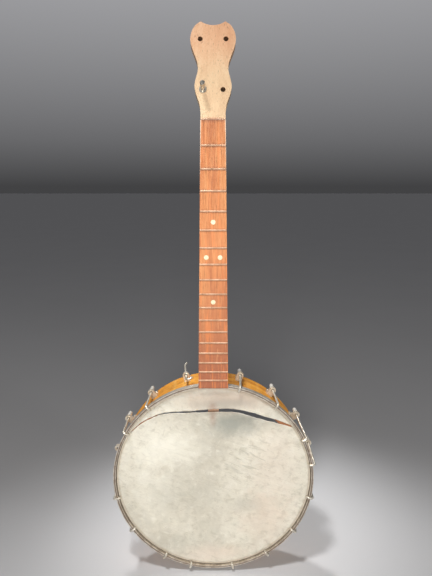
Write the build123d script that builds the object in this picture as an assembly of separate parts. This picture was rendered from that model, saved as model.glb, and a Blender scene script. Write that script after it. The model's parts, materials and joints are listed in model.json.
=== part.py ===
"""Open-back tenor banjo, 21 inch scale, 11 inch pot, partly stripped: no strings, nut, bridge or tailpiece.

+Z runs up the neck, the head faces -Y and +X is on the right of somebody facing the head.
The origin is the lowest point of the rim's outer face, half way through the rim's depth.
"""
from build123d import *
import math
import os

# ---- driving dimensions, millimetres and degrees ----
SCALE = 533.4                 # 21 inch scale length
FRETS = 17
RIM_R = 132.9                 # rim's outer radius
RIM_WALL = 12.0
RIM_DEPTH = 65.6
SKIN = 0.5                    # thickness of the calfskin head
FLESH_WIRE = 3.4              # flesh hoop's square section, less the skin round it
HOOP_R = 139.4                # tension hoop's outer radius
HOOP_WALL = 3.4
HOOP_HEIGHT = 8.5
BOARD_RISE = 5.5              # fingerboard's face in front of the rim's bearing edge
HOOP_SET_BACK = 2.0           # hoop's front edge behind the fingerboard's face
BOARD_THICK = 5.0
BOARD_END = 11.4              # board beyond the last fret
BOARD_END_Z = 268.1           # height of the board's lower end
NUT_WIDTH = 30.9
LAST_FRET_WIDTH = 39.4
NECK_DEPTH_NUT = 15.5         # neck under the board
NECK_DEPTH_HEEL = 19.5
HEEL_DEPTH = 57.0
HEEL_TOP_Z = 335.0
HEEL_CAP_Y = 21.5
NUT_SLOT = 3.4
HEAD_TILT = 14.0              # peghead leans back
HEAD_THICK = 13.5
PEG_HOLE_R = 3.1
PEG_HOLES = {"upper_left": (-15.9, 98.7), "upper_right": (15.9, 98.7), "lower_right": (12.2, 34.9)}
TUNING_PEG_AT = (-12.6, 34.9)
HOOK_CIRCLE = 142.0           # radius of the ring of hook shafts
WIRE_R = 1.6
HOOK_REACH_Y = 27.4           # threaded ends stop here
LOOSE_REACH_Y = 33.0          # the loose hook is a longer one
SHOE_BACK_Y = 11.0            # face of the shoe that the nut pulls against
SHOE_BOLT_Y = 19.0
SHOE_WIDTH = 9.5
SHOE_PLATE = 2.2              # its thickness on the rim
NUT_FLATS = 6.6
NUT_HEX = 6.5                 # length of the nut's hexagon, then its round end
NUT_LENGTH = 17.9
NUT_END_R = 2.85
FACE_GAP = 0.12               # between a nut and its shoe
RUNNING = 0.05                # radial clearance of turning pieces
DOWEL_WIDTH = 15.0
DOWEL_DEPTH = 22.0
DOWEL_TAIL = 13.0
DOWEL_Y = -12.0
BOLT_R = 2.0                  # shoe bolts
STUD_R = 2.4                  # stud through the rim's lowest point
STUD_END_R = 2.1              # its free end, below the nut
POST_R = 2.45                 # tuning peg's shaft
POST_RISE = 21.0              # its tip in front of the peghead
BUTTON_TOP = -HEAD_THICK - 4.2

# angle of each hook from the neck, and how far its front end leans from there (right positive)
HOOKS = {
    "right_1": (15.5, -0.7), "right_2": (36.6, 1.6), "right_3": (57.4, 6.9), "right_4": (76.7, 3.8),
    "right_5": (101.4, 0.0), "right_6": (124.0, 0.8), "right_7": (146.5, 0.0), "right_8": (168.6, 0.0),
    "left_2": (-39.0, -1.0), "left_3": (-60.0, 0.0), "left_5": (-101.8, 0.0), "left_6": (-124.0, 0.0),
    "left_7": (-149.0, -1.0), "left_8": (-166.3, 0.0),
}
LOOSE_AT = -16.0              # the shoe of the loose hook, which has lost its nut
EMPTY_AT = -80.0              # the shoe whose hook is missing
LOOSE_DROP = 27.0             # how far the loose hook has dropped back through its shoe
LOOSE_LEAN = 5.5              # its lean to the left, in its oversize hole

# ---- derived ----
FRONT = -RIM_DEPTH / 2        # rim's bearing edge
BACK = RIM_DEPTH / 2
RIM_IN = RIM_R - RIM_WALL
BOARD_Y = FRONT - BOARD_RISE
NECK_Y = BOARD_Y + BOARD_THICK
HOOP_FRONT = BOARD_Y + HOOP_SET_BACK
HOOP_BACK = HOOP_FRONT + HOOP_HEIGHT
HOOP_IN = HOOP_R - HOOP_WALL
BOARD_LENGTH = SCALE * (1 - 2 ** (-FRETS / 12)) + BOARD_END
NUT_Z = BOARD_END_Z + BOARD_LENGTH
SHOE_ANGLES = [angle for angle, lean in HOOKS.values()] + [LOOSE_AT, EMPTY_AT]
HOOP_CLEAR_R = HOOP_R + 0.8   # neck is cut back to here for the hoop
HOOP_CLEAR_Y = HOOP_BACK + 5.0
TONGUE_THICK = BOARD_THICK - 0.5
tilt = math.radians(HEAD_TILT)
PEGHEAD = Plane(
    origin=(0, NECK_Y, NUT_Z + NUT_SLOT), x_dir=(1, 0, 0), z_dir=(0, -math.cos(tilt), math.sin(tilt))
)


def fret_z(number):
    return NUT_Z - SCALE * (1 - 2 ** (-number / 12))


def board_width(z):
    slope = (LAST_FRET_WIDTH - NUT_WIDTH) / (NUT_Z - fret_z(FRETS))
    return NUT_WIDTH + slope * (NUT_Z - z)


def rod_y(radius, low, high):
    return Pos(0, (low + high) / 2, 0) * Rot(90, 0, 0) * Cylinder(radius, high - low)


def rod_z(radius, low, high):
    return Pos(0, 0, (low + high) / 2) * Cylinder(radius, high - low)


def block(x, y, z):
    """Box from three (low, high) pairs."""
    size = [high - low for low, high in (x, y, z)]
    centre = [(low + high) / 2 for low, high in (x, y, z)]
    return Pos(*centre) * Box(*size)


def ring_y(outer, inner, low, high):
    return rod_y(outer, low, high) - rod_y(inner, low - 1, high + 1)


def in_pot(shape, angle=0.0):
    """Places a shape made round the pot's centre, its radial line along +Z, at an angle from the neck."""
    return Pos(0, 0, RIM_R) * Rot(0, angle, 0) * shape


def hexagon_y(flats, low, high):
    sketch = Plane.XZ * RegularPolygon(flats / 2, 6, major_radius=False)
    return Pos(0, low, 0) * extrude(sketch, -(high - low))


def group(shapes):
    return Compound(children=[shape if isinstance(shape, Solid) else shape.solid() for shape in shapes])


# ---- pot ----
def rim():
    body = ring_y(RIM_R, RIM_IN, FRONT, BACK)
    bolt_hole = Pos(0, SHOE_BOLT_Y, RIM_R - RIM_WALL / 2) * Cylinder(2.1, RIM_WALL + 6)
    for angle in SHOE_ANGLES:
        body -= Rot(0, angle, 0) * bolt_hole
    half_x = DOWEL_WIDTH / 2
    half_y = DOWEL_DEPTH / 2
    body -= block((-half_x, half_x), (DOWEL_Y - half_y, DOWEL_Y + half_y), (RIM_IN - 5, RIM_R + 5))
    body -= Pos(0, DOWEL_Y, -RIM_R + RIM_WALL / 2) * Cylinder(2.5, RIM_WALL + 6)
    edges = body.edges().filter_by(GeomType.CIRCLE).filter_by(lambda edge: edge.radius > 100)
    return in_pot(fillet(edges, 1.2))


def flesh_hoop():
    inner = RIM_R + SKIN
    return in_pot(ring_y(inner + FLESH_WIRE, inner, HOOP_BACK + SKIN, HOOP_BACK + SKIN + FLESH_WIRE))


def tear():
    """Gap across the top of the skin, from one side of the hoop to the other."""
    upper = [(-113, 71), (-92, 90.4), (-66, 100.6), (-30, 101.6), (8, 103.4), (40, 101.8),
             (64, 93.6), (90, 84.6), (110, 80)]
    lower = [(110, 77), (90, 80.6), (62, 88.4), (38, 97.6), (8, 99.8), (-30, 98.8), (-66, 97.8),
             (-92, 88), (-113, 68)]
    outline = Wire([
        Spline(*upper), Line(upper[-1], lower[0]), Spline(*lower), Line(lower[-1], upper[0])
    ])
    return Pos(0, FRONT + 5, 0) * extrude(Plane.XZ * make_face(outline), 15)


def skin_head():
    """The stretched disc of skin, out to the rim's bearing edge, with its tear."""
    inside = rod_y(RIM_R - 0.4, FRONT - 10, FRONT + 10)
    return in_pot(rod_y(RIM_R + SKIN, FRONT - SKIN, FRONT) - (tear() & inside))


def skin_tuck():
    """The skin's edge: back along the rim and over the flesh hoop."""
    collar_out = RIM_R + SKIN
    wrap_out = collar_out + FLESH_WIRE + SKIN
    wrap_end = HOOP_BACK + SKIN + FLESH_WIRE
    profile = Polyline(
        (RIM_R, FRONT), (collar_out, FRONT), (collar_out, HOOP_BACK), (wrap_out, HOOP_BACK),
        (wrap_out, wrap_end), (wrap_out - SKIN, wrap_end), (wrap_out - SKIN, HOOP_BACK + SKIN),
        (collar_out, HOOP_BACK + SKIN), (collar_out, wrap_end), (RIM_R, wrap_end), close=True
    )
    return in_pot(revolve(Plane.XY * make_face(profile), Axis.Y))


def tension_hoop():
    body = ring_y(HOOP_R, HOOP_IN, HOOP_FRONT, HOOP_BACK)
    half = board_width(BOARD_END_Z) / 2 + 0.5
    body -= block((-half, half), (HOOP_FRONT - 5, NECK_Y - 0.3), (HOOP_IN - 20, HOOP_R + 5))
    return in_pot(body)


# ---- hooks, their nuts and their shoes ----
def on_hook_circle(angle, radius, y):
    turn = math.radians(angle)
    return Vector(radius * math.sin(turn), y, RIM_R + radius * math.cos(turn))


def hook(angle, lean):
    """Threaded wire, straight back through its shoe, its front end bent over the hoop."""
    tip = angle + lean
    over = HOOP_FRONT - WIRE_R
    tip_r = HOOP_IN - WIRE_R - 0.1
    points = [on_hook_circle(angle, HOOK_CIRCLE, HOOK_REACH_Y)]
    radii = []
    if lean:
        points.append(on_hook_circle(angle, HOOK_CIRCLE, SHOE_BACK_Y - 5))
        radii.append(16)
    points += [
        on_hook_circle(tip, HOOK_CIRCLE, over), on_hook_circle(tip, tip_r, over),
        on_hook_circle(tip, tip_r, over + 2.9)
    ]
    radii += [2.4, 1.75]
    path = FilletPolyline(*points, radius=radii)
    wire = sweep(Plane(origin=points[0], z_dir=path % 0) * Circle(WIRE_R), path)
    return wire + Pos(*points[0]) * Sphere(WIRE_R)


def hook_nut():
    """Nut at the pot's top, bored for the wire: a hexagon next to the shoe, then a round domed end."""
    low = SHOE_BACK_Y + FACE_GAP
    shoulder = low + NUT_HEX
    high = low + NUT_LENGTH
    profile = Polyline(
        (0, low), (NUT_FLATS / 2, low), (NUT_FLATS / 2 + 0.45, low + 0.5),
        (NUT_FLATS / 2 + 0.45, shoulder - 1.4), (NUT_END_R, shoulder), (0, shoulder), close=True
    )
    hexagon = hexagon_y(NUT_FLATS, low, shoulder) & revolve(Plane.XY * make_face(profile), Axis.Y)
    dome = Pos(0, high - NUT_END_R, 0) * Sphere(NUT_END_R)
    body = hexagon + rod_y(NUT_END_R, shoulder - 0.5, high - NUT_END_R) + dome
    return Pos(0, 0, HOOK_CIRCLE) * (body - rod_y(WIRE_R + RUNNING, low - 1, high + 1))


def bracket_shoe():
    """Casting at the pot's top: a round-ended plate on the rim, and a lug that the hook passes through."""
    half = SHOE_WIDTH / 2
    top = RIM_R + SHOE_PLATE
    lug_low = SHOE_BACK_Y - 4.0
    plate = block((-half, half), (lug_low, SHOE_BOLT_Y), (RIM_R, top))
    plate += Pos(0, SHOE_BOLT_Y, 0) * rod_z(half, RIM_R, top)
    lug = block((-half, half), (lug_low, SHOE_BACK_Y), (RIM_R, HOOK_CIRCLE))
    lug += Pos(0, 0, HOOK_CIRCLE) * rod_y(half, lug_low, SHOE_BACK_Y)
    corner = Polyline(
        (SHOE_BACK_Y - 0.1, top - 0.1), (SHOE_BACK_Y + 2.4, top - 0.1), (SHOE_BACK_Y - 0.1, top + 2.2),
        close=True
    )
    rib = Pos(half, 0, 0) * extrude(Plane.YZ * make_face(corner), -SHOE_WIDTH)
    body = plate + lug + rib
    body -= Pos(0, 0, HOOK_CIRCLE) * rod_y(2.2, lug_low - 1, SHOE_BACK_Y + 1)
    return body - Pos(0, SHOE_BOLT_Y, 0) * rod_z(2.1, RIM_R - 1, RIM_R + 4)


def shoe_bolt():
    """Low round head outside the shoe, shank through the rim."""
    head_low = RIM_R + SHOE_PLATE
    head = rod_z(3.6, head_low, head_low + 2.3) & Pos(0, 0, head_low - 2.6) * Sphere(4.6)
    head -= Pos(0, 0, head_low + 1.9) * Box(9, 0.9, 1.0)
    return Pos(0, SHOE_BOLT_Y, 0) * (head + rod_z(BOLT_R, RIM_IN - 4.6, head_low))


def shoe_washer():
    low = RIM_IN - 0.9
    return Pos(0, SHOE_BOLT_Y, 0) * (rod_z(5.0, low, low + 0.8) - rod_z(BOLT_R + 0.05, low - 1, low + 2))


def shoe_nut():
    high = RIM_IN - 0.9
    body = block((-3.5, 3.5), (-3.5, 3.5), (high - 2.8, high))
    return Pos(0, SHOE_BOLT_Y, 0) * (body - rod_z(BOLT_R, high - 4, high + 1))


def loose_hook_frame():
    """Line of the loose hook: through its shoe's hole, leaning sideways."""
    hole = in_pot(Pos(0, SHOE_BACK_Y - 2, HOOK_CIRCLE), LOOSE_AT)
    return Location(hole.position) * Rot(0, LOOSE_AT, 0) * Rot(0, 0, LOOSE_LEAN)


def loose_hook_at_origin():
    """That hook on its own line, the shoe's hole at the origin: bent thread to +Y, crook turned sideways."""
    over = HOOP_FRONT - WIRE_R - (SHOE_BACK_Y - 2) + LOOSE_DROP
    end = LOOSE_REACH_Y - (SHOE_BACK_Y - 2) + LOOSE_DROP
    reach = HOOK_CIRCLE - HOOP_IN + WIRE_R
    points = [(3.0, end, 0.6), (0, end - 7, 0), (0, over, 0), (reach, over, 0), (reach, over + 2.9, 0)]
    path = FilletPolyline(*points, radius=[9, 2.4, 1.75])
    wire = sweep(Plane(origin=points[0], z_dir=path % 0) * Circle(WIRE_R), path)
    return wire + Pos(*points[0]) * Sphere(WIRE_R)


# ---- dowel stick and its fittings ----
def dowel_stick():
    top = Pos(0, DOWEL_Y, RIM_R + RIM_R + 16) * Rectangle(DOWEL_WIDTH, DOWEL_DEPTH)
    shoulder = Pos(0, DOWEL_Y, RIM_R + RIM_IN - 20) * Rectangle(DOWEL_WIDTH, DOWEL_DEPTH)
    tail = Pos(0, DOWEL_Y, RIM_WALL + 0.25) * Rectangle(DOWEL_TAIL, DOWEL_TAIL)
    stick = loft([top, shoulder], ruled=True) + loft([shoulder, tail], ruled=True)
    return stick - Pos(0, DOWEL_Y, 0) * rod_z(STUD_R, 5, 32)


def neck_brace():
    """Collar round the dowel with an ear on each side for the screws that bear on the rim."""
    half_x = DOWEL_WIDTH / 2
    half_y = DOWEL_DEPTH / 2
    top = RIM_R + RIM_IN - 6
    outer = block((-half_x - 2.5, half_x + 2.5), (-half_y - 2.5, half_y + 2.5), (top - 12, top))
    ears = block((-half_x - 12, half_x + 12), (-6, 6), (top - 9, top - 4))
    hole = block((-half_x, half_x), (-half_y, half_y), (top - 20, top + 5))
    body = outer + ears - hole
    for side in (-1, 1):
        body -= Pos(side * (half_x + 7), 0, 0) * rod_z(2.0, top - 20, top + 5)
    return Pos(0, DOWEL_Y, 0) * body


def brace_screw(side):
    """Hex-headed screw through one ear, its end against the inside of the rim."""
    x = DOWEL_WIDTH / 2 + 7
    top = RIM_R + math.sqrt(RIM_IN ** 2 - (x + 2) ** 2)
    ear = RIM_R + RIM_IN - 15
    head = Pos(0, 0, ear - 3) * extrude(RegularPolygon(3.5, 6, major_radius=False), 3)
    return Pos(side * x, DOWEL_Y, 0) * (head + rod_z(2.0, ear, top))


def tail_bolt():
    """Stud out of the dowel's end through the rim, which the missing tailpiece hung on."""
    stud = rod_z(STUD_R, -5.2, 32) + rod_z(STUD_END_R, -9.8, -5.2)
    return Pos(0, DOWEL_Y, 0) * (stud + Pos(0, 0, -9.8) * Sphere(STUD_END_R))


def tail_washer():
    return Pos(0, DOWEL_Y, 0) * (rod_z(7.0, -1.2, 0) - rod_z(STUD_R, -3, 2))


def tail_nut():
    body = Pos(0, 0, -5.0) * extrude(RegularPolygon(4.0, 6, major_radius=False), 3.8)
    return Pos(0, DOWEL_Y, 0) * (body - rod_z(STUD_R, -8, 2))


# ---- neck ----
def neck_section(z, depth):
    """Flat top and half-elliptical back, across the neck at one height."""
    half = board_width(z) / 2
    arc = EllipticalCenterArc((0, NECK_Y), half, depth, start_angle=0, arc_size=180)
    return Pos(0, 0, z) * make_face([arc, Line((-half, NECK_Y), (half, NECK_Y))])


def neck_depth(z):
    along = min((NUT_Z - z) / (NUT_Z - HEEL_TOP_Z), 1)
    depth = NECK_DEPTH_NUT + (NECK_DEPTH_HEEL - NECK_DEPTH_NUT) * along
    heel = max(0, (HEEL_TOP_Z - z) / (HEEL_TOP_Z - 262.0))
    return depth + (HEEL_DEPTH - NECK_DEPTH_HEEL) * heel ** 2.3


def peghead_outline():
    side = [(15.2, -1), (16.7, 16.5), (22.8, 39), (18.7, 61), (23.4, 80.5), (28.1, 99.5), (24.2, 113),
            (15.2, 121)]
    right = Spline(*side, tangents=[(0.02, 1), (-1, 0.6)])
    left = Spline(*[(-x, u) for x, u in side], tangents=[(-0.02, 1), (1, 0.6)])
    notch = ThreePointArc((15.2, 121), (0, 116.1), (-15.2, 121))
    return make_face([right, notch, left, Line((-15.2, -1), (15.2, -1))])


def neck():
    shaft_ends = [NUT_Z + NUT_SLOT + 4, HEEL_TOP_Z]
    shaft = loft([neck_section(z, neck_depth(z)) for z in shaft_ends], ruled=True)
    heel = loft([neck_section(HEEL_TOP_Z - 8 * step, neck_depth(HEEL_TOP_Z - 8 * step)) for step in range(11)])
    peghead = extrude(PEGHEAD * peghead_outline(), -HEAD_THICK)
    volute_plane = Plane(PEGHEAD.from_local_coords((0, 30, 0)), x_dir=(1, 0, 0), z_dir=PEGHEAD.y_dir)
    arc = EllipticalCenterArc((0, 0), 14.6, HEAD_THICK - 0.4, start_angle=0, arc_size=180)
    end = volute_plane * make_face([arc, Line((-14.6, 0), (14.6, 0))])
    volute = loft([neck_section(NUT_Z, neck_depth(NUT_Z)), end], ruled=True)
    body = shaft + heel + peghead + volute
    body -= PEGHEAD * Pos(0, 74, 20) * Box(80, 150, 40)
    for x, u in list(PEG_HOLES.values()) + [TUNING_PEG_AT]:
        body -= PEGHEAD * Pos(x, u, -HEAD_THICK / 2) * Cylinder(PEG_HOLE_R, HEAD_THICK + 8)
    body -= in_pot(rod_y(RIM_R, -60, 60))
    body -= in_pot(rod_y(HOOP_CLEAR_R, -60, HOOP_CLEAR_Y))
    body -= block((-60, 60), (HEEL_CAP_Y, 60), (200, 400))
    half_x = DOWEL_WIDTH / 2
    half_y = DOWEL_DEPTH / 2
    tenon_top = 2 * RIM_R + 16
    body -= block((-half_x, half_x), (DOWEL_Y - half_y, DOWEL_Y + half_y), (200, tenon_top))
    return body


def fingerboard():
    low = board_width(BOARD_END_Z) / 2
    high = NUT_WIDTH / 2
    outline = Polyline((-low, BOARD_END_Z), (low, BOARD_END_Z), (high, NUT_Z), (-high, NUT_Z), close=True)
    body = Pos(0, NECK_Y, 0) * extrude(Plane.XZ * make_face(outline), BOARD_THICK)
    over_hoop = RIM_R + HOOP_CLEAR_R + 0.3
    body -= block((-30, 30), (BOARD_Y + TONGUE_THICK, NECK_Y + 1), (BOARD_END_Z - 1, over_hoop))
    for number in range(1, FRETS + 1):
        z = fret_z(number)
        body -= block((-30, 30), (BOARD_Y - 1, BOARD_Y + 1.9), (z - 0.3, z + 0.3))
    for x, z in dot_places():
        body -= Pos(x, 0, z) * rod_y(3.0, BOARD_Y - 1, BOARD_Y + 1.4)
    return body


def dot_places():
    """Single dots in front of the 5th and 10th frets, and a pair in front of the 7th."""
    places = [(fret, x) for fret, x in ((5, 0), (7, -8.8), (7, 8.8), (10, 0))]
    return [(x, (fret_z(fret - 1) + fret_z(fret)) / 2 - 1.7) for fret, x in places]


def fret(number):
    """Crown 2.2 wide and 1.0 high over a tang in the board's slot."""
    z = fret_z(number)
    half = board_width(z) / 2 - 0.25
    crown = Pos(0, BOARD_Y + 0.6, 0) * Rot(0, 90, 0) * Cylinder(1.6, 2 * half)
    crown = crown & block((-half, half), (BOARD_Y - 1.0, BOARD_Y), (-1.1, 1.1))
    tang = block((-half, half), (BOARD_Y, BOARD_Y + 1.8), (-0.3, 0.3))
    return Pos(0, 0, z) * (crown + tang)


def position_dot(x, z):
    return Pos(x, 0, z) * rod_y(3.0, BOARD_Y, BOARD_Y + 1.4)


# ---- the one tuning peg that is left, on the line of its hole: +Z out of the peghead's face ----
def on_peghead(shape):
    return PEGHEAD * Pos(*TUNING_PEG_AT, 0) * shape


def peg_front_bushing():
    body = rod_z(PEG_HOLE_R, -5, 0) + rod_z(4.7, 0, 1.2)
    return body - rod_z(POST_R + RUNNING, -6, 2)


def peg_back_bushing():
    low = -HEAD_THICK
    body = rod_z(PEG_HOLE_R, low, low + 5) + rod_z(5.2, low - 1.6, low)
    return body - rod_z(POST_R + RUNNING, low - 3, low + 6)


def peg_post():
    """Turned shaft with a waist and a string hole near its domed tip."""
    shaft = rod_z(POST_R, BUTTON_TOP - 8, POST_RISE)
    tip = rod_z(3.0, POST_RISE - 5.5, POST_RISE) & Pos(0, 0, POST_RISE - 4.2) * Sphere(4.2)
    collar = rod_z(3.1, 1.3, 3.3)
    hole = Pos(0, 0, POST_RISE - 8.2) * Rot(0, 90, 0) * Cylinder(0.8, 10)
    screw_hole = rod_z(1.1, BUTTON_TOP - 9, BUTTON_TOP + 2)
    return shaft + tip + collar - hole - screw_hole


def peg_washer():
    low = BUTTON_TOP
    high = -HEAD_THICK - 1.7
    return rod_z(4.4, low, high) - rod_z(POST_R, low - 1, high + 1)


def peg_button():
    """Flat oval thumb-piece on a round neck, standing edge-on behind the peghead."""
    neck_part = rod_z(4.2, BUTTON_TOP - 9, BUTTON_TOP)
    paddle = Pos(0, 0, BUTTON_TOP - 14) * Rot(0, 90, 0) * extrude(Ellipse(9.5, 10.5), 3.4, both=True)
    body = neck_part + fillet(paddle.edges(), 1.6)
    body -= rod_z(POST_R, BUTTON_TOP - 8, BUTTON_TOP + 1)
    return body - rod_z(1.3, BUTTON_TOP - 40, BUTTON_TOP)


def peg_screw():
    """Slotted screw up through the button into the post."""
    end = BUTTON_TOP - 23.5
    head = Pos(0, 0, end - 1.6) * Cylinder(2.6, 1.6, align=(Align.CENTER, Align.CENTER, Align.MIN))
    head -= Pos(0, 0, end - 1.6) * Box(6, 0.7, 1.2)
    return head + rod_z(1.1, end, BUTTON_TOP + 1)


def parts():
    """Every node of the banjo, by name."""
    nodes = {
        "rim": rim(),
        "flesh_hoop": flesh_hoop(),
        "skin_head": skin_head(),
        "skin_tuck": skin_tuck(),
        "tension_hoop": tension_hoop(),
        "hooks": group([hook(angle, lean) for angle, lean in HOOKS.values()]),
        "bracket_shoes": group([in_pot(bracket_shoe(), angle) for angle in SHOE_ANGLES]),
        "shoe_bolts": group([in_pot(shoe_bolt(), angle) for angle in SHOE_ANGLES]),
        "shoe_washers": group([in_pot(shoe_washer(), angle) for angle in SHOE_ANGLES]),
        "shoe_nuts": group([in_pot(shoe_nut(), angle) for angle in SHOE_ANGLES]),
        "loose_hook": loose_hook_frame() * loose_hook_at_origin(),
        "dowel_stick": dowel_stick(),
        "neck_brace": neck_brace(),
        "brace_screw_left": brace_screw(-1),
        "brace_screw_right": brace_screw(1),
        "tail_bolt": tail_bolt(),
        "tail_washer": tail_washer(),
        "tail_nut": tail_nut(),
        "neck": neck(),
        "fingerboard": fingerboard(),
        "frets": group([fret(number) for number in range(1, FRETS + 1)]),
        "position_dots": group([position_dot(x, z) for x, z in dot_places()]),
        "peg_front_bushing": on_peghead(peg_front_bushing()),
        "peg_back_bushing": on_peghead(peg_back_bushing()),
        "peg_post": on_peghead(peg_post()),
        "peg_washer": on_peghead(peg_washer()),
        "peg_button": on_peghead(peg_button()),
        "peg_screw": on_peghead(peg_screw()),
    }
    for name, (angle, lean) in HOOKS.items():
        nodes[f"hook_nut_{name}"] = in_pot(hook_nut(), angle)
    return nodes


os.makedirs("parts", exist_ok=True)
for name, shape in parts().items():
    export_step(shape, f"parts/{name}.step")
    print(name, round(shape.volume))
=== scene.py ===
"""Looks of a worn open-back banjo round its CAD frame: torn skin, stripped wood, tarnished nickel."""
import bisect
import json
import math

import bmesh
import bpy
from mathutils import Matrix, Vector, geometry, noise


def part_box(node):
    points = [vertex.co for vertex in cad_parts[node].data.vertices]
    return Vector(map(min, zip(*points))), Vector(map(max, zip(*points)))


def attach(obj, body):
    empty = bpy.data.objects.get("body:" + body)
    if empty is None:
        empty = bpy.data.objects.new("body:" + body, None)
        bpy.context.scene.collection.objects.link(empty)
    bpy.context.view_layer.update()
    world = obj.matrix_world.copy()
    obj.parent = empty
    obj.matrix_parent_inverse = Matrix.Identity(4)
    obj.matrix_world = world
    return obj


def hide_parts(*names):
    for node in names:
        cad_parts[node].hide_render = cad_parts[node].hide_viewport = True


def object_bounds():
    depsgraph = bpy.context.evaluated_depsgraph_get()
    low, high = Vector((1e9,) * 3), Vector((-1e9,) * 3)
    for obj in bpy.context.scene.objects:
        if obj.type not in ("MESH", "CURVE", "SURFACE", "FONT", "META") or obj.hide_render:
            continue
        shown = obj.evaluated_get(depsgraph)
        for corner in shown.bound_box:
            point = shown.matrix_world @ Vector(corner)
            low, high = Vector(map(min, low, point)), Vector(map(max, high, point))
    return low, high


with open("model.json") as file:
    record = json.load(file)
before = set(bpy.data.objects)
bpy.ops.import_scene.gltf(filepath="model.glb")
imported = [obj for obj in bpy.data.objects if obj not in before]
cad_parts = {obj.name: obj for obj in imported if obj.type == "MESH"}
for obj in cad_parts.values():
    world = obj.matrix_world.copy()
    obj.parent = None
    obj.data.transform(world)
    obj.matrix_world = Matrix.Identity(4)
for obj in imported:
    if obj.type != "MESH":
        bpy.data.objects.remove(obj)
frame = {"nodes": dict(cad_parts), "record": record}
cad_low, cad_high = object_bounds()
MM = 0.001

# ---- places, read from the frame ----
rim_low, rim_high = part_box("rim")
skin_low, skin_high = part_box("skin_head")
tuck_low, tuck_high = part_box("skin_tuck")
board_low, board_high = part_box("fingerboard")
hoop_low, hoop_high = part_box("tension_hoop")
POT_Z = (rim_low.z + rim_high.z) / 2
HOOP_R = hoop_high.x
RIM_R = (rim_high.x - rim_low.x) / 2
RIM_FRONT = rim_low.y         # the bearing edge
NUT_Z = board_high.z
BOARD_SPAN = board_high.z - board_low.z

# ---- driving dimensions that no box gives ----
RIM_WALL = 12 * MM
SCALE = 533.4 * MM
FRETS_PER_OCTAVE = 12
HALF_WIDTH_AT_NUT = 15.45 * MM
HALF_WIDTH_GAIN = 13.59 * MM  # over a whole scale length
NUT_LEDGE = 3.4 * MM          # from the board's top to the peghead's face
HEAD_TILT = 14                # degrees
PEG_HOLES = ((-15.9, 98.7), (15.9, 98.7), (12.2, 34.9), (-12.6, 34.9))  # across and up the peghead, mm
PEG_HOLE_R = 3.1 * MM


def srgb(red, green, blue):
    """Linear colour from the usual 0 to 255 numbers."""
    def linear(value):
        value /= 255
        return value / 12.92 if value <= 0.04045 else ((value + 0.055) / 1.055) ** 2.4
    return (linear(red), linear(green), linear(blue), 1.0)


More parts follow.
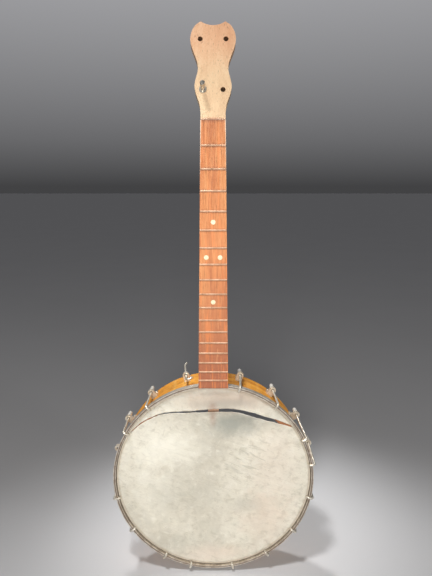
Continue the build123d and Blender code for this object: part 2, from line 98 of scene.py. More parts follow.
# ---- materials ----
class Look:
    """A material whose node graph is built by short calls. Its coordinates are the row's, in metres."""

    def __init__(self, name, **constants):
        self.material = bpy.data.materials.new(name)
        self.material.use_nodes = True
        self.tree = self.material.node_tree
        self.shader = self.tree.nodes["Principled BSDF"]
        self.place = self.node("ShaderNodeTexCoord").outputs["Object"]
        for key, value in constants.items():
            self.shader.inputs[key.replace("_", " ")].default_value = value

    def node(self, kind, inputs=None, **settings):
        made = self.tree.nodes.new(kind)
        for key, value in settings.items():
            setattr(made, key, value)
        for key, value in (inputs or {}).items():
            self.put(made.inputs[key], value)
        return made

    def put(self, socket, value):
        if isinstance(value, bpy.types.NodeSocket):
            self.tree.links.new(value, socket)
        else:
            socket.default_value = value

    def set(self, key, value):
        self.put(self.shader.inputs[key], value)

    def stretch(self, scale, vector=None, move=(0, 0, 0), turn=(0, 0, 0)):
        inputs = {"Vector": vector or self.place, "Scale": scale, "Location": move, "Rotation": turn}
        return self.node("ShaderNodeMapping", inputs).outputs["Vector"]

    def noise(self, vector, scale=1.0, detail=3.0, rough=0.55, warp=0.0):
        inputs = {
            "Vector": vector, "Scale": scale, "Detail": detail, "Roughness": rough, "Distortion": warp
        }
        return self.node("ShaderNodeTexNoise", inputs).outputs["Fac"]

    def ramp(self, fac, *stops):
        """Colours by a value; each stop is a place from 0 to 1 and a colour."""
        made = self.node("ShaderNodeValToRGB", {"Fac": fac})
        elements = made.color_ramp.elements
        while len(elements) < len(stops):
            elements.new(0.5)
        for element, (position, colour) in zip(elements, stops):
            element.position = position
            element.color = colour
        return made.outputs["Color"]

    def range(self, value, low, high, to_low=0.0, to_high=1.0):
        """Smooth step of a value between two limits."""
        inputs = {"Value": value, "From Min": low, "From Max": high, "To Min": to_low, "To Max": to_high}
        return self.node("ShaderNodeMapRange", inputs, interpolation_type="SMOOTHSTEP").outputs["Result"]

    def mix(self, fac, first, second, blend="MIX"):
        made = self.node("ShaderNodeMix", data_type="RGBA", blend_type=blend)
        for socket, value in zip((made.inputs[0], made.inputs[6], made.inputs[7]), (fac, first, second)):
            self.put(socket, value)
        return made.outputs[2]

    def math(self, operation, first, second=0.0):
        made = self.node("ShaderNodeMath", operation=operation)
        self.put(made.inputs[0], first)
        self.put(made.inputs[1], second)
        return made.outputs[0]

    def both(self, first, second):
        """Product of two masks, or of a mask and an amount."""
        return self.math("MULTIPLY", first, second)

    def between(self, value, low, high, fade):
        """1 between two limits, fading out over a distance each side of them."""
        rise = self.range(value, low - fade, low + fade)
        return self.both(rise, self.range(value, high + fade, high - fade))

    def length(self, vector):
        return self.node("ShaderNodeVectorMath", {0: vector}, operation="LENGTH").outputs["Value"]

    def axes(self, vector=None):
        return self.node("ShaderNodeSeparateXYZ", {"Vector": vector or self.place}).outputs

    def patch(self, centre, size, ragged=0.0):
        """1 at a place, fading to 0 over the given half sizes, with an uneven edge if asked."""
        shift = self.stretch([1 / s for s in size], move=[-c / s for c, s in zip(centre, size)])
        distance = self.length(shift)
        if ragged:
            uneven = self.both(self.noise(self.place, 70, 4, 0.6), ragged)
            distance = self.math("ADD", distance, self.math("SUBTRACT", uneven, ragged / 2))
        return self.range(distance, 1.0, 0.1)

    def on_peghead(self):
        """Coordinates in the peghead's own plane: across, out of its back, up from the nut's slot."""
        corner = (0, board_high.y, NUT_Z + NUT_LEDGE)
        inputs = {"Vector": self.place, "Center": corner, "Angle": math.radians(HEAD_TILT)}
        turned = self.node("ShaderNodeVectorRotate", inputs, rotation_type="X_AXIS").outputs["Vector"]
        return self.stretch((1, 1, 1), turned, move=[-c for c in corner])

    def bump(self, height, distance, strength=1.0):
        inputs = {"Height": height, "Distance": distance, "Strength": strength}
        if self.shader.inputs["Normal"].is_linked:
            inputs["Normal"] = self.shader.inputs["Normal"].links[0].from_socket
        self.set("Normal", self.node("ShaderNodeBump", inputs).outputs["Normal"])

    def round_the_pot(self):
        """(coordinates with the grain's way round the pot first, then depth, then radius; the radius)."""
        x, y, z = self.axes(self.stretch((1, 1, 1), move=(0, 0, -POT_Z)))
        radius = self.math("SQRT", self.math("ADD", self.both(x, x), self.both(z, z)))
        along = self.both(self.math("ARCTAN2", x, z), RIM_R)
        vector = self.node("ShaderNodeCombineXYZ", {"X": along, "Y": y, "Z": radius}).outputs["Vector"]
        return vector, radius


def wood_grain(look, figure, fibre, pores, colours, vector=None):
    """Colour and heights of straight-grained wood. figure, fibre and pores are scales per metre."""
    broad = look.noise(look.stretch(figure, vector), 1.0, 4.0, 0.6, 0.6)
    fine = look.noise(look.stretch(fibre, vector), 1.0, 5.0, 0.65)
    ticks = look.range(look.noise(look.stretch(pores, vector), 1.0, 2.0, 0.5), 0.60, 0.72)
    colour = look.ramp(broad, *colours)
    colour = look.mix(look.range(fine, 0.35, 0.7, 0.0, 0.45), colour, colours[0][1], "MULTIPLY")
    colour = look.mix(look.both(ticks, 0.55), colour, srgb(92, 52, 30))
    return colour, fine, ticks


def rim_wood():
    """Amber finish outside, bare inside, browned bearing edge, and seams of the plies on both edges."""
    look = Look("rim_wood", Specular_IOR_Level=0.2)
    around, radius = look.round_the_pot()
    stops = ((0.28, srgb(196, 120, 38)), (0.5, srgb(232, 164, 58)), (0.75, srgb(248, 194, 88)))
    colour, fine, ticks = wood_grain(look, (5, 60, 60), (30, 1500, 1500), (60, 1100, 1100), stops, around)
    flame = look.noise(look.stretch((130, 9, 9), around), 1.0, 2.0, 0.5)
    colour = look.mix(look.range(flame, 0.5, 0.75, 0.0, 0.28), colour, srgb(250, 205, 120))
    ply = look.math("FRACT", look.math("DIVIDE", radius, 3 * MM))
    seam = look.range(look.math("ABSOLUTE", look.math("SUBTRACT", ply, 0.5)), 0.46, 0.5)
    depth = look.axes()[1]
    edge = look.range(look.math("ABSOLUTE", depth), -RIM_FRONT - 0.8 * MM, -RIM_FRONT - 0.2 * MM)
    colour = look.mix(look.both(seam, edge), colour, srgb(96, 56, 26))
    rim_inside = RIM_R - RIM_WALL
    inside = look.range(radius, rim_inside + 2 * MM, rim_inside + 1 * MM)
    bare = look.mix(look.range(fine, 0.3, 0.7), srgb(196, 152, 98), srgb(158, 116, 72))
    colour = look.mix(look.both(inside, 0.85), colour, bare)
    bearing = look.range(depth, RIM_FRONT + 1.8 * MM, RIM_FRONT + 0.4 * MM, 0.0, 0.85)
    colour = look.mix(bearing, colour, srgb(152, 104, 82))
    grime = look.range(look.noise(look.place, 38, 5, 0.65), 0.5, 0.78, 0.0, 0.65)
    look.set("Base Color", look.mix(grime, colour, srgb(150, 90, 40)))
    look.set("Roughness", look.range(grime, 0.0, 0.65, 0.5, 0.7))
    look.bump(look.math("ADD", fine, ticks), 0.12 * MM, 0.5)
    return look.material


def neck_wood():
    """Bare maple: sanded face on the peghead, a stained ledge by the nut with a line of painted shade where
    the board ends, painted shade in the peg holes, greyer down the back.
    """
    look = Look("neck_wood", Coat_Weight=0.05)
    stops = ((0.3, srgb(218, 164, 124)), (0.5, srgb(238, 194, 154)), (0.72, srgb(246, 214, 179)))
    colour, fine, ticks = wood_grain(look, (70, 70, 6), (1500, 1500, 36), (900, 900, 90), stops)
    mottle = look.range(look.noise(look.place, 90, 5, 0.7), 0.5, 0.78, 0.0, 0.4)
    colour = look.mix(mottle, colour, srgb(214, 156, 118))
    y, z = look.axes()[1:]
    top = look.range(z, NUT_Z + 45 * MM, NUT_Z + 105 * MM)
    colour = look.mix(look.both(top, 0.35), colour, srgb(236, 184, 144))
    pale = look.math("SUBTRACT", 1.0, top)
    colour = look.mix(look.both(pale, 0.4), colour, srgb(222, 212, 172))
    behind = look.range(y, board_high.y + 4 * MM, board_high.y + 13 * MM, 0.0, 0.45)
    shaft = look.range(z, NUT_Z + 6 * MM, NUT_Z - 6 * MM)
    colour = look.mix(look.both(behind, shaft), colour, srgb(176, 122, 78))
    ledge = look.patch((0, board_high.y, NUT_Z + NUT_LEDGE / 2), (24 * MM, 2.2 * MM, 3.2 * MM))
    colour = look.mix(look.both(ledge, 0.6), colour, srgb(198, 142, 112))
    # Painted shade: a thin dark line in the corner where the board's end stands over the ledge of the empty
    # nut slot.
    line = look.range(z, NUT_Z + 1.5 * MM, NUT_Z + 0.9 * MM)
    line = look.both(line, look.range(z, NUT_Z - 0.4 * MM, NUT_Z))
    colour = look.mix(look.both(line, 0.85), colour, srgb(92, 54, 36))
    face = look.on_peghead()
    # Painted shade: the peg holes' walls are darkened brown to stand for the shade inside them.
    for across, up in PEG_HOLES:
        hole = look.stretch((1, 0, 1), face, move=(-across * MM, 0, -up * MM))
        hole_shade = look.range(look.length(hole), PEG_HOLE_R + 0.2 * MM, PEG_HOLE_R - 0.05 * MM, 0.0, 0.85)
        colour = look.mix(hole_shade, colour, srgb(112, 74, 38))
    look.set("Base Color", colour)
    look.set("Roughness", look.range(fine, 0.3, 0.7, 0.48, 0.68))
    look.bump(look.math("ADD", fine, ticks), 0.15 * MM, 0.45)
    return look.material


def board_wood():
    """Dry red-brown board: faded orange by the nut, browner below, streaked, dirty and painted with shade
    at the frets, pale at the rubbed edges with a painted highlight there.
    """
    look = Look("fingerboard_wood")
    stops = ((0.3, srgb(176, 98, 50)), (0.52, srgb(216, 138, 78)), (0.72, srgb(230, 162, 98)))
    colour, fine, ticks = wood_grain(look, (120, 120, 7), (1900, 1900, 40), (1300, 1300, 70), stops)
    x, _, z = look.axes()
    down = look.range(z, NUT_Z - 0.45 * BOARD_SPAN, board_low.z + 8 * MM, 0.0, 0.85)
    colour = look.mix(down, colour, look.mix(fine, srgb(130, 70, 50), srgb(183, 111, 81)))
    share = look.math("DIVIDE", look.math("SUBTRACT", NUT_Z, z), SCALE)
    octaves = look.math("LOGARITHM", look.math("SUBTRACT", 1.0, share), 2.0)
    steps = look.both(octaves, -FRETS_PER_OCTAVE)
    near = look.math("ABSOLUTE", look.math("SUBTRACT", look.math("FRACT", steps), 0.5))
    # Dark bands either side of each fret: dirt, and painted shade in the corners beside the fret crowns.
    fret_dirt_and_shade = look.both(look.range(near, 0.36, 0.5), look.range(fine, 0.2, 0.6))
    colour = look.mix(look.both(fret_dirt_and_shade, 0.7), colour, srgb(104, 58, 38))
    worn = look.range(look.noise(look.stretch((260, 1, 40)), 1.0, 4.0, 0.65), 0.52, 0.74, 0.0, 0.3)
    colour = look.mix(worn, colour, srgb(244, 186, 130))
    streak = look.noise(look.stretch((190, 1, 16), move=(7, 0, 3)), 1.0, 3.0, 0.6)
    colour = look.mix(look.range(streak, 0.5, 0.64, 0.0, 0.5), colour, srgb(232, 138, 72))
    middle = look.patch((0, board_low.y, NUT_Z - 0.58 * BOARD_SPAN), (40 * MM, 30 * MM, 150 * MM))
    colour = look.mix(look.both(middle, 0.18), colour, srgb(248, 174, 124))
    half = look.math("ADD", look.both(share, HALF_WIDTH_GAIN), HALF_WIDTH_AT_NUT)
    edge = look.math("SUBTRACT", half, look.math("ABSOLUTE", x))
    uneven = look.both(look.noise(look.place, 160, 3, 0.6), 1.6 * MM)
    # Pale edges of the board: rubbed wear, and a painted highlight along the edges.
    rub_and_edge_highlight = look.range(look.math("ADD", edge, uneven), 2.1 * MM, 1.3 * MM, 0.0, 0.9)
    colour = look.mix(rub_and_edge_highlight, colour, srgb(246, 212, 182))
    look.set("Base Color", colour)
    look.set("Roughness", look.range(fine, 0.3, 0.7, 0.45, 0.66))
    look.bump(look.math("ADD", fine, ticks), 0.18 * MM, 0.5)
    return look.material


def dowel_wood():
    """Plain pale stick, never finished."""
    look = Look("dowel_wood")
    stops = ((0.3, srgb(192, 148, 120)), (0.5, srgb(224, 182, 152)), (0.72, srgb(240, 204, 174)))
    colour, fine, ticks = wood_grain(look, (60, 60, 6), (1400, 1400, 34), (900, 900, 70), stops)
    look.set("Base Color", colour)
    look.set("Roughness", look.range(fine, 0.3, 0.7, 0.55, 0.75))
    look.bump(look.math("ADD", fine, ticks), 0.15 * MM, 0.5)
    return look.material


# Stains of the skin, and patches of painted shade: place right of and above the pot's centre, half sizes,
# strength, colour.
CREAM = (252, 247, 230)
GREY = (158, 158, 148)
PINK = (222, 200, 182)
TAN = (204, 184, 166)
RUST = (160, 122, 104)
STAINS_AND_SHADE = (
    ((-60, 45), (75, 40), 0.6, CREAM), ((-85, -20), (45, 80), 0.3, CREAM),
    # The grey patches at (26, 80) and (38, 90), right of the neck just under the tear, are painted shade
    # where the skin sags below the lifted lip.
    ((85, 15), (50, 100), 0.3, PINK), ((26, 80), (54, 26), 0.95, GREY),
    ((38, 90), (34, 11), 0.5, GREY), ((-1, 92), (8, 22), 0.55, RUST),
    ((18, 116), (100, 24), 0.9, TAN), ((15, 110), (60, 14), 0.5, GREY),
    ((75, -60), (60, 60), 0.4, PINK), ((0, -118), (80, 24), 0.45, PINK),
    ((-40, -25), (70, 40), 0.22, GREY), ((-1, 108), (9, 10), 0.4, RUST),
    ((-40, -100), (60, 30), 0.25, GREY), ((45, -40), (30, 20), 0.3, GREY),
)


def calfskin():
    """Aged skin: mottled cream and grey, stained under the tear and round the edge, faintly veined; painted
    grey shade under the tear on the right, painted shade along the creases and in the gap by the hoop.
    """
    look = Look("calfskin", Subsurface_Weight=0.12, Subsurface_Scale=0.004, Specular_IOR_Level=0.35)
    look.shader.inputs["Subsurface Radius"].default_value = (1.0, 0.7, 0.45)
    clouds = look.noise(look.stretch((9, 9, 7)), 1.0, 5.0, 0.6, 0.4)
    stops = ((0.30, srgb(198, 191, 175)), (0.5, srgb(222, 215, 198)), (0.72, srgb(236, 230, 213)))
    colour = look.ramp(clouds, *stops)
    mottle = look.noise(look.place, 95, 5.0, 0.68, 0.5)
    colour = look.mix(look.range(mottle, 0.50, 0.68, 0.0, 0.6), colour, srgb(190, 182, 164))
    colour = look.mix(look.range(mottle, 0.48, 0.28, 0.0, 0.45), colour, srgb(244, 240, 226))
    blotch = look.noise(look.place, 36, 4.0, 0.6, 0.8)
    colour = look.mix(look.range(blotch, 0.5, 0.7, 0.0, 0.35), colour, srgb(194, 190, 174))
    veins = look.noise(look.stretch((24, 24, 40), turn=(0, 0.5, 0)), 1.0, 6.0, 0.7, 1.2)
    colour = look.mix(look.range(veins, 0.54, 0.7, 0.0, 0.4), colour, srgb(190, 179, 160))
    speck = look.range(look.noise(look.place, 520, 3, 0.6), 0.62, 0.72, 0.0, 0.4)
    colour = look.mix(speck, colour, srgb(156, 138, 116))
    for centre, size, amount, tint in STAINS_AND_SHADE:
        place = (centre[0] * MM, skin_low.y, POT_Z + centre[1] * MM)
        patch = look.patch(place, (size[0] * MM, 40 * MM, size[1] * MM), 0.8)
        colour = look.mix(look.both(patch, amount), colour, srgb(*tint))
    bent = look.stretch((1, 1, 1), turn=(0, -0.36, 0))
    crease = look.noise(look.stretch((30, 30, 170), bent), 1.0, 4.0, 0.62, 1.6)
    slack = look.patch((48 * MM, skin_low.y, POT_Z + 30 * MM), (50 * MM, 40 * MM, 48 * MM), 0.6)
    crease = look.both(look.range(crease, 0.51, 0.63), look.math("ADD", slack, 0.3))
    # Painted shade: the creases are darkened along their lines.
    colour = look.mix(look.both(crease, 0.32), colour, srgb(156, 149, 133))
    around, radius = look.round_the_pot()
    rough_edge = look.math("ADD", radius, look.both(look.noise(around, 60, 4, 0.6), 5 * MM))
    rim_stain = look.range(rough_edge, RIM_R + 0.1 * MM, RIM_R + 2.6 * MM, 0.0, 0.25)
    colour = look.mix(rim_stain, colour, srgb(160, 128, 98))
    # Painted shade: dark brown where the skin turns down into the gap inside the tension hoop, standing for
    # the hoop's shadow there.
    fold = look.range(radius, RIM_R + 1.9 * MM, RIM_R + 2.4 * MM, 0.0, 0.85)
    colour = look.mix(fold, colour, srgb(84, 56, 38))
    tucked = look.range(look.axes()[1], skin_high.y + 2.5 * MM, skin_high.y + 4.5 * MM)
    colour = look.mix(look.both(tucked, 0.6), colour, srgb(190, 160, 118))
    look.set("Base Color", colour)
    look.set("Roughness", look.range(clouds, 0.3, 0.7, 0.5, 0.66))
    look.bump(look.math("SUBTRACT", veins, look.both(crease, 0.8)), 0.4 * MM, 0.5)
    look.bump(look.noise(look.place, 900, 3, 0.6), 0.08 * MM, 0.3)
    return look.material


def nickel(name, bright, dull, spots, rough, metal=1.0, brown_ring=None):
    """Old plating: clouded, spotted with tarnish and scratched; brown between two radii if given."""
    look = Look(name, Metallic=metal)
    cloud = look.noise(look.place, 130, 5, 0.65)
    colour = look.mix(look.range(cloud, 0.35, 0.65), bright, dull)
    rust = look.range(look.noise(look.place, 420, 5, 0.7), 0.56, 0.70, 0.0, 0.8)
    colour = look.mix(rust, colour, spots)
    if brown_ring:
        _, radius = look.round_the_pot()
        ring = look.between(radius, *brown_ring, 0.3 * MM)
        colour = look.mix(look.both(ring, 0.8), colour, srgb(104, 78, 62))
    look.set("Base Color", colour)
    look.set("Roughness", look.range(cloud, 0.3, 0.7, rough, rough + 0.22))
    look.bump(look.noise(look.stretch((2600, 300, 2600)), 1.0, 2.0), 0.03 * MM, 0.35)
    look.bump(rust, 0.06 * MM, 0.4)
    return look.material


def celluloid(name, light, dark, rough):
    """Glossy yellowed plastic, clouded."""
    look = Look(name, Coat_Weight=0.4, Coat_Roughness=0.15)
    cloud = look.noise(look.stretch((220, 220, 420)), 1.0, 4.0, 0.6, 1.5)
    look.set("Base Color", look.mix(look.range(cloud, 0.3, 0.7), light, dark))
    look.set("Roughness", look.range(cloud, 0.3, 0.7, rough, rough + 0.15))
    look.bump(look.noise(look.place, 1200, 2), 0.03 * MM, 0.3)
    return look.material


def plain_floor():
    look = Look("plain_floor", Roughness=0.9)
    cloud = look.noise(look.place, 3, 2)
    look.set("Base Color", look.mix(cloud, (0.66, 0.66, 0.67, 1), (0.70, 0.70, 0.71, 1)))
    return look.material


# name, bright, dull and tarnish colours, least roughness, metalness
PLATED = nickel("worn_nickel", srgb(236, 230, 217), srgb(196, 188, 172), srgb(126, 100, 78), 0.3, 0.72)
HOOP = nickel(
    "hoop_nickel", srgb(236, 228, 214), srgb(190, 178, 162), srgb(128, 98, 78), 0.3, 0.8,
    (HOOP_R - 2.5 * MM, HOOP_R - 1.1 * MM)
)
HOOK_NUT = nickel("nut_nickel", srgb(252, 249, 240), srgb(222, 216, 202), srgb(140, 116, 92), 0.3, 0.5)
SHOE = nickel("shoe_nickel", srgb(234, 226, 210), srgb(192, 180, 160), srgb(112, 84, 58), 0.3, 0.66)
PEG = nickel("peg_nickel", srgb(226, 220, 208), srgb(176, 166, 152), srgb(96, 70, 50), 0.2)
STEEL = nickel("old_steel", srgb(150, 142, 132), srgb(104, 96, 88), srgb(92, 60, 40), 0.36)
FRET = nickel("fret_metal", srgb(214, 176, 146), srgb(188, 148, 118), srgb(140, 100, 72), 0.5, 0.35)
SLOT_LOOKS = {
    "rim_maple": rim_wood(), "dowel_maple": dowel_wood(), "neck_wood": neck_wood(),
    "fingerboard_wood": board_wood(), "calfskin": calfskin(), "nickel_plate": PLATED, "steel": STEEL,
    "fret_metal": FRET,
    "dot_celluloid": celluloid("dot_celluloid", srgb(250, 240, 208), srgb(232, 214, 170), 0.3),
    "button_celluloid": celluloid("button_celluloid", srgb(238, 226, 190), srgb(206, 184, 138), 0.28),
}
NODE_LOOKS = {
    "tension_hoop": HOOP, "bracket_shoes": SHOE, "shoe_bolts": SHOE,
    "peg_post": PEG, "peg_front_bushing": PEG,
}


def dress_cad_nodes():
    for entry in frame["record"]["subparts"]:
        node = frame["nodes"][entry["node"]]
        node.data.materials.clear()
        usual = SLOT_LOOKS[entry["material_slot"]]
        if entry["node"].startswith("hook_nut"):
            usual = HOOK_NUT
        node.data.materials.append(NODE_LOOKS.get(entry["node"], usual))


# ---- the torn skin ----
# Both lips of the tear as (x, height above the pot's centre), millimetres; each ends on the bearing edge
# at the given angles from the neck.
UPPER_LIP = [
    (-99, 83.6), (-83, 93.0), (-66, 98.7), (-25, 101.6), (8, 104.0), (32, 103.5), (56, 98.0), (73, 92.0),
    (89, 86.9)
]
LOWER_LIP = [
    (-99.5, 81.4), (-83, 91.0), (-66, 96.9), (-25, 98.6), (8, 99.8), (32, 98.6), (56, 92.0), (73, 86.9),
    (89, 83.2)
]
UPPER_ENDS = (-57.6, 53.0)
LOWER_ENDS = (-59.2, 54.9)
RAGGED = 0.45                 # unevenness of the lips, millimetres
GRID = 3.2                    # mesh spacing over the skin
FINE_GRID = 1.15              # and beside the lips
NEAR_LIPS = 8.0
EDGE_POINTS = 360
SKIN_THICK = 0.45
TRIANGLE_ROWS = 0.866         # height of a row of even triangles, per side
RADIUS = RIM_R / MM           # the skin's shape is worked out in millimetres
OVER_RIM = 119                # inside this the skin hangs clear of the rim
TEAR_REACH = 118              # and the tear is no further out than this


def on_edge(angle):
    """Point of the bearing edge's outer corner at an angle from the neck."""
    turn = math.radians(angle)
    return (RADIUS * math.sin(turn), RADIUS * math.cos(turn))


def catmull_rom(t, p, q, r, s):
    """Value at t from 0 to 1 between q and r, on the smooth curve through all four."""
    square = (2 * p - 5 * q + 4 * r - s) * t * t
    cube = (3 * q - p - 3 * r + s) * t ** 3
    return 0.5 * (2 * q + (r - p) * t + square + cube)


def smooth_line(points, step=1.0):
    """Points about a step apart on a smooth curve through the given ones."""
    line = []
    padded = [points[0]] + points + [points[-1]]
    for four in zip(padded, padded[1:], padded[2:], padded[3:]):
        count = max(1, round(math.dist(four[1], four[2]) / step))
        for i in range(count):
            line.append(tuple(catmull_rom(i / count, *along) for along in zip(*four)))
    return line + [points[-1]]


def lip(points, ends, seed):
    """A lip of the tear, slightly ragged between its two ends."""
    line = smooth_line([on_edge(ends[0])] + points + [on_edge(ends[1])])
    ragged = []
    for x, z in line:
        hold = min(1.0, (RADIUS - math.hypot(x, z)) / 3)
        wave = noise.fractal(Vector((x * 0.22, seed, 0)), 1.0, 2.0, 4) * RAGGED * max(0.0, hold)
        ragged.append((x, z + wave))
    return ragged


def height_on(line, x):
    """Height of a lip at x."""
    at = min(max(bisect.bisect_left(line, (x, 0)), 1), len(line) - 1)
    (x0, z0), (x1, z1) = line[at - 1], line[at]
    return z0 + (z1 - z0) * min(max((x - x0) / max(x1 - x0, 1e-6), 0), 1)


def bell(value, middle, width):
    """1 at the middle, falling off smoothly both ways."""
    return math.exp(-((value - middle) / width) ** 2)


def skin_relief(x, z, upper, lower):
    """How far the skin stands out of its flat, towards the viewer, in millimetres."""
    radius = math.hypot(x, z)
    free = min(1.0, max(0.0, (RADIUS - 1 - radius) / 9))
    off_rim = min(1.0, max(0.0, (OVER_RIM - radius) / 25))
    cockle = 0.7 * noise.fractal(Vector((x * 0.018, 3.1, z * 0.018)), 1.0, 2.0, 3)
    below = height_on(lower, x) - z
    above = z - height_on(upper, x)
    wave = noise.fractal(Vector((x * 0.05, 7.7, 0)), 1.0, 2.0, 3)
    out = 0.0
    if below >= -0.5:
        out += (1.5 + 1.1 * wave) * math.exp(-max(below, 0) / 3.6)
        out -= (1.6 * bell(below, 17, 13) * bell(x, 48, 36) + 0.7 * bell(below, 16, 14)) * off_rim
        slant = x * 0.38 + z * 0.92
        ripple = math.sin(slant * 0.62 + 2.2 * noise.noise(Vector((x * 0.03, 1.0, z * 0.03))))
        out += 0.28 * ripple * bell(x, 48, 34) * bell(z, 30, 42) * off_rim
        out += 0.14 * math.sin(z * 0.5 + x * 0.12) * bell(x, -40, 40) * bell(z, 40, 30) * off_rim
        out += cockle * off_rim - 0.9 * off_rim * bell(radius, 0, 90)
    elif above >= -0.5:
        out += (1.2 - 1.2 * wave) * math.exp(-max(above, 0) / 3.2)
        out += 0.35 * cockle
    return max(out * free, -2.6 * off_rim)


def outline(upper, lower):
    """Points and edges that the skin's mesh has to keep: its round edge, then both lips."""
    ring = [on_edge(i * 360 / EDGE_POINTS) for i in range(EDGE_POINTS)]
    points = list(ring)
    edges = [(i, (i + 1) % EDGE_POINTS) for i in range(EDGE_POINTS)]
    for line in (upper, lower):
        inner = line[1:-1]
        start = len(points)
        points += inner
        edges += [(start + i, start + i + 1) for i in range(len(inner) - 1)]
        for end, near in ((line[0], start), (line[-1], len(points) - 1)):
            closest = min(range(EDGE_POINTS), key=lambda i: math.dist(ring[i], end))
            edges.append((closest, near))
    return points, edges


def triangle_grid(step):
    """Points of an even triangular grid within the bearing edge."""
    rows = int(RADIUS / (step * TRIANGLE_ROWS)) + 1
    for row in range(-rows, rows + 1):
        z = row * step * TRIANGLE_ROWS
        for column in range(-rows, rows + 1):
            x = (column + 0.5 * (row % 2)) * step
            if math.hypot(x, z) < RADIUS - 0.6 * step:
                yield x, z


def torn_disc(upper, lower):
    """Flat mesh of the skin in front of the rim: points in millimetres, and triangles outside the tear."""
    def from_lips(x, z):
        return min(abs(z - height_on(upper, x)), abs(z - height_on(lower, x)))

    points, edges = outline(upper, lower)
    points += [(x, z) for x, z in triangle_grid(GRID) if from_lips(x, z) > NEAR_LIPS]
    points += [(x, z) for x, z in triangle_grid(FINE_GRID) if 0.8 < from_lips(x, z) <= NEAR_LIPS]
    made = geometry.delaunay_2d_cdt([Vector(p) for p in points], edges, [], 0, 1e-4)
    flat = [tuple(p) for p in made[0]]
    kept = []
    for face in made[2]:
        x = sum(flat[i][0] for i in face) / len(face)
        z = sum(flat[i][1] for i in face) / len(face)
        in_tear = height_on(lower, x) < z < height_on(upper, x) and abs(x) < TEAR_REACH
        if not in_tear:
            kept.append(face)
    return flat, kept


def rolled_edge(front):
    """Rings of points over the flesh hoop: a puffy fold in the gap, then down the tension hoop's inside."""
    out = (tuck_high.x - tuck_low.x) / 2 / MM
    turn_y = skin_high.y / MM + 5.0
    end_y = tuck_high.y / MM
    profile = (
        (RADIUS + 0.35, front + 0.35), (RADIUS + 0.75, front + 0.95), (RADIUS + 1.25, front + 0.95),
        (RADIUS + 1.9, front + 0.75), (RADIUS + 2.5, front + 1.1), (RADIUS + 2.8, front + 1.9),
        (RADIUS + 2.85, turn_y - 0.6), (RADIUS + 3.1, turn_y - 0.1), (out - 0.25, turn_y + 0.2),
        (out, turn_y + 1.0), (out, end_y - 0.4)
    )
    for radius, y in profile:
        ring = []
        for i in range(EDGE_POINTS):
            turn = 2 * math.pi * i / EDGE_POINTS
            across, up = math.sin(turn), math.cos(turn)
            ragged = 0.35 * noise.noise(Vector((across * 9, up * 9, y)))
            depth = y + (ragged if y > turn_y + 1.5 else 0)
            ring.append(Vector((radius * across, depth, radius * up + POT_Z / MM)) * MM)
        yield ring


def skin_sheet():
    upper = lip(UPPER_LIP, UPPER_ENDS, 1.5)
    lower = lip(LOWER_LIP, LOWER_ENDS, 9.5)
    flat, faces = torn_disc(upper, lower)
    front = skin_low.y / MM
    shaped = []
    for x, z in flat:
        shaped.append(Vector((x, front - skin_relief(x, z, upper, lower), z + POT_Z / MM)) * MM)
    inner = 0
    for ring in rolled_edge(front):
        outer = len(shaped)
        shaped += ring
        for i in range(EDGE_POINTS):
            j = (i + 1) % EDGE_POINTS
            faces.append((inner + i, inner + j, outer + j, outer + i))
        inner = outer
    mesh = bpy.data.meshes.new("torn_skin")
    mesh.from_pydata([tuple(p) for p in shaped], [], faces)
    tidy = bmesh.new()
    tidy.from_mesh(mesh)
    loose = [v for v in tidy.verts if not v.link_faces]
    bmesh.ops.delete(tidy, geom=loose, context="VERTS")
    bmesh.ops.recalc_face_normals(tidy, faces=tidy.faces)
    tidy.to_mesh(mesh)
    tidy.free()
    mesh.materials.append(SLOT_LOOKS["calfskin"])
    for polygon in mesh.polygons:
        polygon.use_smooth = True
    skin = bpy.data.objects.new("torn_skin", mesh)
    bpy.context.scene.collection.objects.link(skin)
    thick = skin.modifiers.new("thickness", "SOLIDIFY")
    thick.thickness = SKIN_THICK * MM
    thick.offset = -1
    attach(skin, "root")
    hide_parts("skin_head", "skin_tuck")


# ---- stage, lights and camera ----
CAMERA_AT = (0.0036, -0.7048, 0.5340)
CAMERA_DOWN = 10.95           # degrees below level
CAMERA_LENS = 32.9
SENSOR = 36
FLOOR_SIZE = 80
BODY = (0, 0, 0.37)           # where the lights aim: the banjo's middle
POT = (0, 0, 0.2)
# the sine of the height above the horizon, and the brightness there
WORLD_STEPS = ((0.0, 0.055), (0.08, 0.14), (0.31, 0.34), (0.58, 0.08), (1.0, 0.04))


def stage():
    bpy.ops.mesh.primitive_plane_add(size=FLOOR_SIZE, location=(0, 0, cad_low.z - 0.4 * MM))
    floor = bpy.context.object
    floor.name = "floor"
    floor.data.materials.append(plain_floor())


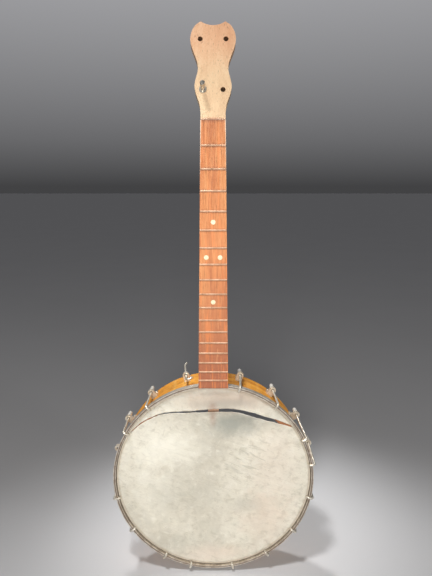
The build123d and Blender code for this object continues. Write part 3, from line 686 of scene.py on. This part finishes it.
def studio_world():
    """Soft grey surround: as dim as the far floor at the horizon, palest a little above it."""
    world = bpy.data.worlds.new("studio")
    world.use_nodes = True
    tree = world.node_tree
    place = tree.nodes.new("ShaderNodeTexCoord")
    split = tree.nodes.new("ShaderNodeSeparateXYZ")
    ramp = tree.nodes.new("ShaderNodeValToRGB")
    tree.links.new(place.outputs["Generated"], split.inputs["Vector"])
    tree.links.new(split.outputs["Z"], ramp.inputs["Fac"])
    tree.links.new(ramp.outputs["Color"], tree.nodes["Background"].inputs["Color"])
    elements = ramp.color_ramp.elements
    while len(elements) < len(WORLD_STEPS):
        elements.new(0.5)
    for element, (position, value) in zip(elements, WORLD_STEPS):
        element.position = position
        element.color = (value, value, value * 1.04, 1)
    bpy.context.scene.world = world


def light(kind, name, place, aim, energy):
    data = bpy.data.lights.new(name, kind)
    data.energy = energy
    lamp = bpy.data.objects.new(name, data)
    lamp.location = place
    lamp.rotation_euler = (Vector(aim) - Vector(place)).to_track_quat("-Z", "Y").to_euler()
    bpy.context.scene.collection.objects.link(lamp)
    return data


def key_light():
    """Large low warm light near the camera, so that the pot's shadow falls behind the tear."""
    data = light("AREA", "key", (-0.12, -2.0, 0.86), (0, 0, 0.33), 28)
    data.shape = "RECTANGLE"
    data.size = 0.62
    data.size_y = 0.62
    data.color = (1.0, 0.97, 0.93)


def beam(name, place, aim, energy, width, softness=0.15):
    """Narrow soft-edged light on the banjo that leaves the floor behind it dim."""
    data = light("SPOT", name, place, aim, energy)
    data.spot_size = math.radians(width)
    data.spot_blend = 0.5
    data.shadow_soft_size = softness


def camera():
    data = bpy.data.cameras.new("camera")
    data.sensor_width = SENSOR
    data.lens = CAMERA_LENS
    eye = bpy.data.objects.new("camera", data)
    eye.location = CAMERA_AT
    eye.rotation_euler = (math.radians(90 - CAMERA_DOWN), 0, 0)
    bpy.context.scene.collection.objects.link(eye)
    bpy.context.scene.camera = eye


dress_cad_nodes()
skin_sheet()
stage()
studio_world()
key_light()
beam("top", (-0.3, -0.6, 1.7), POT, 62, 17, 0.10)
beam("side", (1.7, -1.4, 0.6), BODY, 22, 22)
beam("back", (-0.5, 1.3, 2.5), BODY, 110, 22)
bpy.context.scene.view_settings.view_transform = "Standard"
camera()
